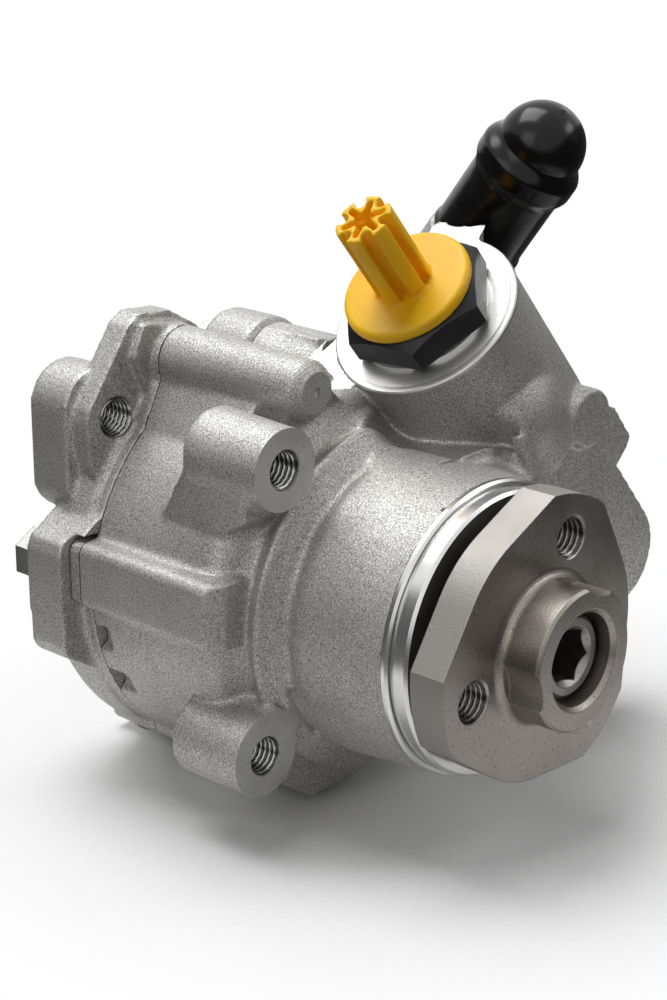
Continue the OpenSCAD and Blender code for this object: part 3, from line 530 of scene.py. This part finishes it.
# Tapped holes: M8 threads cut in the bosses, the ear and the hub. The tap leaves a chamfered mouth in
# a small spot face, and the flanks of the thread shine.
def tapped(name, at, axis, depth, rim, face=True, mouth=4.45 * MM):
    """One tapped hole as a surface round its axis, from the mouth inwards: a flat rim, a chamfer, and a
    wall whose radius follows a triangle wave of height minus the turn's share of a pitch. The crests take
    the first finish, the roots the second, a dark copy that paints the shade in them, and the rim the third."""
    pitch, crest, root = 1.25 * MM, 3.42 * MM, 3.97 * MM
    spokes, rows_per_turn = 72, 14
    side, up = around(axis)
    a = np.linspace(0, 2 * np.pi, spokes, endpoint=False)
    h = np.linspace(0, depth, int(depth / pitch * rows_per_turn))
    phase = (h[:, None] / pitch - a / (2 * np.pi)) % 1
    wave = np.clip(1.25 * np.abs(2 * phase - 1) - 0.125, 0, 1)
    wall = crest + (root - crest) * wave
    wall = np.maximum(wall, mouth - h[:, None])
    flat = np.full((2, len(a)), rim)
    flat[1] = mouth
    r = np.vstack([flat, wall]) if face else wall
    h = np.concatenate([[-0.012 * MM, -0.012 * MM], h]) if face else h
    spoke = np.cos(a)[:, None] * side + np.sin(a)[:, None] * up
    mesh = grid_mesh(name, at - h[:, None, None] * axis + r[:, :, None] * spoke)
    roots = np.vstack([np.zeros((2 * face, len(a)), bool), (wave > 0.45) & (wall < mouth - 0.1 * MM)])
    index = roots[:-1].astype(np.int32)
    index[: int(face)] = 2
    mesh.polygons.foreach_set("material_index", index.ravel())
    return mesh


TAPPED = turned_aluminium("tapped_aluminium", (0.34, 0.34, 0.335), (0.5, 0.5, 0.49))
# A near-black copy of the tapped metal: painted shade in the roots of the threads.
ROOT_SHADE = turned_aluminium("painted_root_shade", (0.03, 0.03, 0.028), (0.07, 0.07, 0.066))
for name, rim in (("mount_upper", 6.6), ("mount_lower", 6.4), ("mount_arm", 6.6)):
    hole = tapped(name + "_thread", place(name) + thread_lead * FRONT, FRONT, 15.5 * MM, rim * MM)
    shown(name + "_thread", hole, "housing", [TAPPED, ROOT_SHADE, MILLED])
ear_depth = mounts["cover_ear"]["dims"]["length_mm"] * MM + thread_lead
ear_front = place("cover_ear") + ear_depth * FRONT
hole = tapped("cover_ear_thread", ear_front, FRONT, ear_depth, 0, face=False, mouth=4.05 * MM)
shown("cover_ear_thread", hole, "housing", [TAPPED, ROOT_SHADE])


# Pulley hub: pressed and sintered steel, so its skin is speckled and faintly brown. The edges were
# deburred and shine, and the rim is scuffed where the belt pulley sits.
def sintered_steel(name, dark, light, rough, ground=None):
    """Sintered steel: brown mottle, fine specks, open pores, bright worn edges. Walls along the shaft and
    beyond a ground radius are bright."""
    made, tree, shader = finish(name, Metallic=1.0)
    metal = grained(tree, 42, 3200, 900)
    tone = ramp(tree, metal["Mottle"], (0.32, dark), (0.68, light))
    speck = ramp(tree, metal["Grain"], (0.0, (0.72, 0.7, 0.68)), (0.6, (1, 1, 1)), (1.0, (1.2, 1.2, 1.2)))
    hole = ramp(tree, metal["Pits"], (0.0, (1, 1, 1)), (1.0, (0.4, 0.38, 0.36)))
    edge = add(tree, "Bevel", {"Radius": 0.35 * MM}, samples=6)
    plain = add(tree, "NewGeometry").outputs["Normal"]
    bend = add(tree, "VectorMath", {0: edge.outputs[0], 1: plain}, operation="DOT_PRODUCT")
    worn = add(tree, "MapRange", {"Value": bend.outputs["Value"], "From Min": 0.985, "From Max": 0.9})
    mixed = add(tree, "Mix", {"Factor": worn.outputs[0]}, data_type="RGBA")
    tree.links.new(times(tree, times(tree, tone, speck, 1.0), hole, 0.7), mixed.inputs["A"])
    mixed.inputs["B"].default_value = (0.29, 0.278, 0.262, 1)
    if ground:
        where = add(tree, "TexCoord").outputs["Object"]
        flat = add(tree, "VectorMath", {0: where, 1: (1, 0, 1)}, operation="MULTIPLY")
        out = add(tree, "VectorMath", {0: flat.outputs[0]}, operation="LENGTH")
        out = add(tree, "Math", {0: out.outputs["Value"], 1: ground}, operation="GREATER_THAN")
        lean = add(tree, "VectorMath", {0: plain, 1: (0, 1, 0)}, operation="DOT_PRODUCT")
        lean = add(tree, "Math", {0: lean.outputs["Value"], 1: 0.0, 2: 0.5}, operation="COMPARE")
        wall = add(tree, "Math", {0: lean.outputs[0], 1: out.outputs[0]}, operation="MULTIPLY")
        wall = add(tree, "Math", {0: wall.outputs[0], 1: worn.outputs[0]}, operation="MAXIMUM")
        tree.links.new(wall.outputs[0], mixed.inputs["Factor"])
    tree.links.new(mixed.outputs["Result"], shader["Base Color"])
    dull = add(tree, "MapRange", {"Value": metal["Mottle"], "From Min": 0.3, "From Max": 0.7,
                                  "To Min": rough[0], "To Max": rough[1]})
    if ground:
        dull = add(tree, "Math", {0: wall.outputs[0], 1: 0.2, 2: dull.outputs[0]}, operation="MULTIPLY_ADD")
    tree.links.new(dull.outputs[0], shader["Roughness"])
    bump = add(tree, "Bump", {"Height": metal["Height"], "Normal": edge.outputs[0], "Strength": 0.35,
                              "Distance": 0.08 * MM})
    tree.links.new(bump.outputs[0], shader["Normal"])
    return made


def paint(material, *names):
    """Gives CAD nodes one material in place of their packed ones."""
    for n in names:
        nodes[n].data.materials.clear()
        nodes[n].data.materials.append(material)


ground_r = 21 * MM
HUB = sintered_steel("hub_steel", (0.25, 0.228, 0.205), (0.36, 0.335, 0.31), (0.28, 0.42), ground=ground_r)
paint(HUB, "pulley_hub")
bolt_circle_r = mounts["pulley_bolts"]["dims"]["pcd_mm"] / 2 * MM
first_hole = 71.35
THREAD = sintered_steel("thread_steel", (0.25, 0.235, 0.22), (0.42, 0.40, 0.38), (0.22, 0.34))
# The roots of the hub's threads take the same painted shade.
for i in range(3):
    a = radians(first_hole + 120 * i)
    at = np.array([bolt_circle_r * cos(a), 0, bolt_circle_r * sin(a)])
    hole = tapped(f"pulley_thread_{i}", at, FRONT, 8 * MM, 4.6 * MM, face=False)
    shown(f"pulley_thread_{i}", hole, "shaft", [THREAD, ROOT_SHADE])


# Drive shaft: steel, turned and ground, pressed into the hub. A hexagon socket in its front end takes the
# key that holds it while the pulley is bolted on.
SHAFT = sintered_steel("shaft_steel", (0.22, 0.21, 0.20), (0.33, 0.32, 0.31), (0.25, 0.38))
paint(SHAFT, "drive_shaft")


# Inner pieces: the bearing, bushes and the pump's cartridge are ground steel, bronze and spring steel,
# seen only where the housing is open at the nose.
def plain_metal(name, dark, light, rough):
    """Ground or drawn metal with a slow tone and fine scratches."""
    made, tree, shader = finish(name, Metallic=1.0)
    metal = grained(tree, 120, 2600, 1200)
    tree.links.new(ramp(tree, metal["Mottle"], (0.3, dark), (0.7, light)), shader["Base Color"])
    dull = add(tree, "MapRange", {"Value": metal["Grain"], "To Min": rough[0], "To Max": rough[1]})
    tree.links.new(dull.outputs[0], shader["Roughness"])
    bump = add(tree, "Bump", {"Height": metal["Grain"], "Strength": 0.1, "Distance": 0.03 * MM})
    tree.links.new(bump.outputs[0], shader["Normal"])
    return made


paint(plain_metal("bearing_steel", (0.55, 0.55, 0.56), (0.68, 0.68, 0.69), (0.12, 0.22)),
      "bearing_outer_ring", "bearing_inner_ring", "bearing_balls", "dowel_pins", "flow_valve_spool")
paint(plain_metal("spring_steel", (0.16, 0.16, 0.17), (0.24, 0.24, 0.25), (0.3, 0.45)),
      "bearing_circlip", "rotor_circlip", "plate_spring", "valve_spring")
paint(plain_metal("rotor_steel", (0.34, 0.34, 0.35), (0.45, 0.45, 0.46), (0.25, 0.4)),
      "rotor", "vanes", "cam_ring", "front_side_plate", "rear_side_plate")
paint(plain_metal("bush_bronze", (0.50, 0.34, 0.16), (0.62, 0.44, 0.22), (0.3, 0.45)),
      "front_bush", "rear_bush")


def moulded(name, dark, light, rough, bumpy, **fixed):
    """Moulded plastic or rubber: a slow tone, a faint orange-peel skin and a varied gloss."""
    made, tree, shader = finish(name, **fixed)
    skin = grained(tree, 160, 1400, 800)
    tree.links.new(ramp(tree, skin["Mottle"], (0.3, dark), (0.7, light)), shader["Base Color"])
    dull = add(tree, "MapRange", {"Value": skin["Mottle"], "From Min": 0.3, "From Max": 0.7,
                                  "To Min": rough[0], "To Max": rough[1]})
    tree.links.new(dull.outputs[0], shader["Roughness"])
    edge = add(tree, "Bevel", {"Radius": 0.3 * MM}, samples=6)
    bump = add(tree, "Bump", {"Height": skin["Grain"], "Normal": edge.outputs[0], "Strength": bumpy,
                              "Distance": 0.06 * MM})
    tree.links.new(bump.outputs[0], shader["Normal"])
    return made


paint(moulded("cage_plastic", (0.62, 0.54, 0.34), (0.72, 0.63, 0.42), (0.4, 0.55), 0.2),
      "bearing_cage")
paint(moulded("seal_rubber", (0.02, 0.02, 0.02), (0.035, 0.035, 0.035), (0.5, 0.65), 0.3),
      "shaft_seal", "cover_o_ring")


# Cover bolts: flanged hexagon bolts of forged steel, zinc plated, screwed through the rear cover into the
# housing.
paint(sintered_steel("zinc_plate", (0.42, 0.42, 0.41), (0.58, 0.58, 0.56), (0.28, 0.42)), "cover_bolts")


# Pressure union: a hexagon fitting of turned steel with a black oxide skin, screwed into the port of the
# housing on a soft bright washer.
def black_oxide():
    """Blackened steel: nearly black, with paler rubbed edges."""
    made, tree, shader = finish("black_oxide", Metallic=0.7)
    metal = grained(tree, 90, 2000, 700)
    edge = add(tree, "Bevel", {"Radius": 0.4 * MM}, samples=6)
    plain = add(tree, "NewGeometry").outputs["Normal"]
    bend = add(tree, "VectorMath", {0: edge.outputs[0], 1: plain}, operation="DOT_PRODUCT")
    worn = add(tree, "MapRange", {"Value": bend.outputs["Value"], "From Min": 0.98, "From Max": 0.85,
                                  "To Max": 0.6})
    mixed = add(tree, "Mix", {"Factor": worn.outputs[0]}, data_type="RGBA")
    tone = ramp(tree, metal["Mottle"], (0.3, (0.008, 0.008, 0.009)), (0.7, (0.02, 0.02, 0.022)))
    tree.links.new(tone, mixed.inputs["A"])
    mixed.inputs["B"].default_value = (0.16, 0.16, 0.165, 1)
    tree.links.new(mixed.outputs["Result"], shader["Base Color"])
    dull = add(tree, "MapRange", {"Value": metal["Grain"], "To Min": 0.3, "To Max": 0.46})
    tree.links.new(dull.outputs[0], shader["Roughness"])
    bump = add(tree, "Bump", {"Height": metal["Height"], "Normal": edge.outputs[0], "Strength": 0.25,
                              "Distance": 0.06 * MM})
    tree.links.new(bump.outputs[0], shader["Normal"])
    return made


paint(black_oxide(), "pressure_union")
paint(plain_metal("washer_metal", (0.66, 0.66, 0.66), (0.8, 0.8, 0.79), (0.3, 0.42)), "union_washer")


# Transport plug: yellow polyethylene, moulded in one with its fluted grip, pushed into the union by hand.
# The mould was simple and well used, so every edge is soft and the walls let some light through.
PLUG = moulded(
    "plug_yellow", (0.96, 0.51, 0.005), (0.98, 0.57, 0.008), (0.36, 0.5), 0.3, Subsurface_Weight=0.4,
    Subsurface_Radius=(0.003, 0.002, 0.0006), Subsurface_Scale=1.0, Specular_IOR_Level=0.35)
casting("plug_moulding", "transport_plug", "plug", [PLUG],
        voxel=0.3 * MM, filling=6, rounding=4, most=120000)


# Suction stub and its cap: a zinc-plated tube with a hose bead, closed by a cap of black vinyl. The cap
# was dipped on a former, so it has a soft dome with a drip point, and it is stretched over the bead.
def dipped_cap(at, axis):
    """Cap turned about the stub: the inner wall from its end down to the mouth, then the outer wall, a
    skirt with a rolled lip, swelled by one smooth step and narrowed by another, and a ball end with a drip
    point at its pole. The skirt wavers a little round the axis. Sizes in mm."""
    skirt_r, swell, narrowing, lip, waviness = 9.95, 1.2, 1.85, 0.4, 0.07
    ball_r, ball_h, drip = 9.3, 27.4, 0.3
    side, up = around(axis)
    a = np.linspace(0, 2 * np.pi, 144, endpoint=False)
    ball = np.linspace(0, np.pi / 2, 40)
    h = np.concatenate([np.linspace(0.3, 2.6, 16), np.linspace(3, 17, 20), np.linspace(17.3, 27.3, 50)])
    r = skirt_r + swell * step(h, 17.4, 20.8) - narrowing * step(h, 23.4, 27.3)
    r += lip * np.exp(-(((h - 0.9) / 0.6) ** 2))
    waves = np.sin(3 * a + 0.4) + np.sin(5 * a + 2)
    waver = waviness * np.outer(step(h, 1, 6) * (1 - step(h, 15, 18)), waves)
    end_r = ball_r * np.cos(ball)
    end_h = ball_h + ball_r * np.sin(ball) + drip * np.exp(-((ball - np.pi / 2) / 0.09) ** 2)
    wall_h = np.array([34.6, 34.2, 32, 27, 25, 13.2, 12.4, 0.5])
    wall_r = np.array([0, 3, 6.5, 8, 9.37, 9.37, 8.46, 8.46])
    heights = np.concatenate([wall_h, h, end_h]) * MM
    wall_r, end_r = np.tile(wall_r[:, None], len(a)), np.tile(end_r[:, None], len(a))
    radii = np.concatenate([wall_r, r[:, None] + waver, end_r]) * MM
    spoke = np.cos(a)[:, None] * side + np.sin(a)[:, None] * up
    return welded(grid_mesh("vinyl_cap", at + heights[:, None, None] * axis + radii[:, :, None] * spoke))


paint(plain_metal("stub_zinc", (0.55, 0.55, 0.54), (0.68, 0.68, 0.66), (0.28, 0.4)), "suction_stub")
VINYL = moulded("cap_vinyl", (0.003, 0.003, 0.003), (0.007, 0.007, 0.007), (0.17, 0.27), 0.05,
                Specular_IOR_Level=0.25)
cap = shown("vinyl_cap", dipped_cap(suction_mouth, suction_axis), "housing", [VINYL], sharp=60)
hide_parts("suction_cap")


# Studio: a pale floor that runs out to white, a broad lamp overhead, weaker ones at the sides, and a
# white room behind. A ring of dark card lies round the set, out of the camera's sight, and gives the metal
# its dark sides.
def staged(name, mesh, material):
    """A thing of the studio, which isn't part of the pump."""
    mesh.materials.append(material)
    made = bpy.data.objects.new(name, mesh)
    bpy.context.scene.collection.objects.link(made)
    return made


def ring(inner, outer, low, high):
    """Ring round the set: its radius grows evenly and its height as the square of that, most on the two
    sides that face each other across the view."""
    a = np.linspace(0, 2 * np.pi, 96, endpoint=False)
    share = np.linspace(0, 1, 9)[:, None]
    r = inner + (outer - inner) * share
    z = low + (0.05 + (high - low) * np.cos(a + radians(43)) ** 2) * share ** 2
    return np.stack([middle[0] + r * np.cos(a), middle[1] + r * np.sin(a), z], axis=-1)


middle = (np.array(cad_box[0]) + np.array(cad_box[1])) / 2
floor_z = cad_box[0][2]
paper, tree, shader = finish("floor_paper", Roughness=0.9)
where = add(tree, "TexCoord").outputs["Object"]
speckle = add(tree, "TexNoise", {"Vector": where, "Scale": 900.0})
tone = ramp(tree, speckle.outputs["Fac"], (0.3, (0.86, 0.86, 0.86)), (0.7, (0.9, 0.9, 0.9)))
tree.links.new(tone, shader["Base Color"])
away = add(tree, "VectorMath", {0: where, 1: (middle[0], middle[1], floor_z)}, operation="DISTANCE")
white = add(tree, "MapRange", {"Value": away.outputs["Value"], "From Min": 0.05, "From Max": 0.115})
path = add(tree, "LightPath").outputs
seen = add(tree, "Math", {0: path["Is Camera Ray"], 1: path["Is Glossy Ray"]}, operation="MAXIMUM")
seen = add(tree, "Math", {0: seen.outputs[0], 1: path["Is Transmission Ray"]}, operation="MAXIMUM")
share = add(tree, "Math", {0: seen.outputs[0], 1: white.outputs[0]}, operation="MULTIPLY")
glow = add(tree, "Emission", {"Color": (1, 1, 1, 1), "Strength": 1.0})
plain = tree.nodes["Principled BSDF"].outputs[0]
both = add(tree, "MixShader", {0: share.outputs[0], 1: plain, 2: glow.outputs[0]})
tree.links.new(both.outputs[0], tree.nodes["Material Output"].inputs["Surface"])
floor = bpy.data.meshes.new("floor")
corners = [(-3, -3, floor_z), (3, -3, floor_z), (3, 3, floor_z), (-3, 3, floor_z)]
floor.from_pydata(corners, [], [(0, 1, 2, 3)])
staged("floor", floor, paper)

card, tree, shader = finish("dark_card", Roughness=0.9)
shader["Base Color"].default_value = (0.05, 0.05, 0.05, 1)
card_ring = ring(0.14, 0.7, floor_z + 0.001, floor_z + 0.4)
screen = staged("dark_ring", grid_mesh("dark_ring", card_ring), card)
screen.visible_camera = screen.visible_shadow = screen.visible_transmission = False

world = bpy.data.worlds.new("room")
bpy.context.scene.world = world
world.use_nodes = True
tree = world.node_tree
path = add(tree, "LightPath").outputs
seen = add(tree, "Math", {0: path["Is Camera Ray"], 1: path["Is Glossy Ray"]}, operation="MAXIMUM")
seen = add(tree, "Math", {0: seen.outputs[0], 1: path["Is Transmission Ray"]}, operation="MAXIMUM")
level = add(tree, "MapRange", {"Value": seen.outputs[0], "To Min": 0.16, "To Max": 1.0})
tree.links.new(level.outputs[0], tree.nodes["Background"].inputs["Strength"])
tree.nodes["Background"].inputs["Color"].default_value = (1, 1, 1, 1)


def lamp(name, at, target, size, watts):
    """Square soft lamp that faces a point."""
    light = bpy.data.lights.new(name, "AREA")
    light.size = size
    light.energy = watts
    made = bpy.data.objects.new(name, light)
    bpy.context.scene.collection.objects.link(made)
    back = np.array(at, float) - target
    back /= np.linalg.norm(back)
    side = np.cross([0, 0, 1.0], back)
    side /= np.linalg.norm(side)
    turn = Matrix(np.column_stack([side, np.cross(back, side), back]).tolist()).to_4x4()
    made.matrix_world = Matrix.Translation(at) @ turn


lamp("overhead", (0.0, 0.34, 0.85), middle, 0.6, 7)
lamp("right", (0.6, -0.5, 0.45), middle, 0.4, 2.0)
lamp("left", (-0.75, 0.05, 0.45), middle, 0.5, 1.3)


# Camera: the photograph's view from the front left and a little above. Its lens, place and directions were
# fitted to the hub and the housing in the photograph.
view = bpy.data.cameras.new("camera")
view.lens = 82.8
view.sensor_width = 36
camera = bpy.data.objects.new("camera", view)
bpy.context.scene.collection.objects.link(camera)
back = np.array([-0.6934, -0.6425, 0.3262])
right = np.array([0.6797, -0.7335, 0])
camera.matrix_world = Matrix.Translation((-0.3279, -0.2482, 0.1714)) @ Matrix(
    np.column_stack([right, np.cross(back, right), back]).tolist()).to_4x4()
bpy.context.scene.camera = camera
bpy.context.scene.view_settings.view_transform = "Standard"
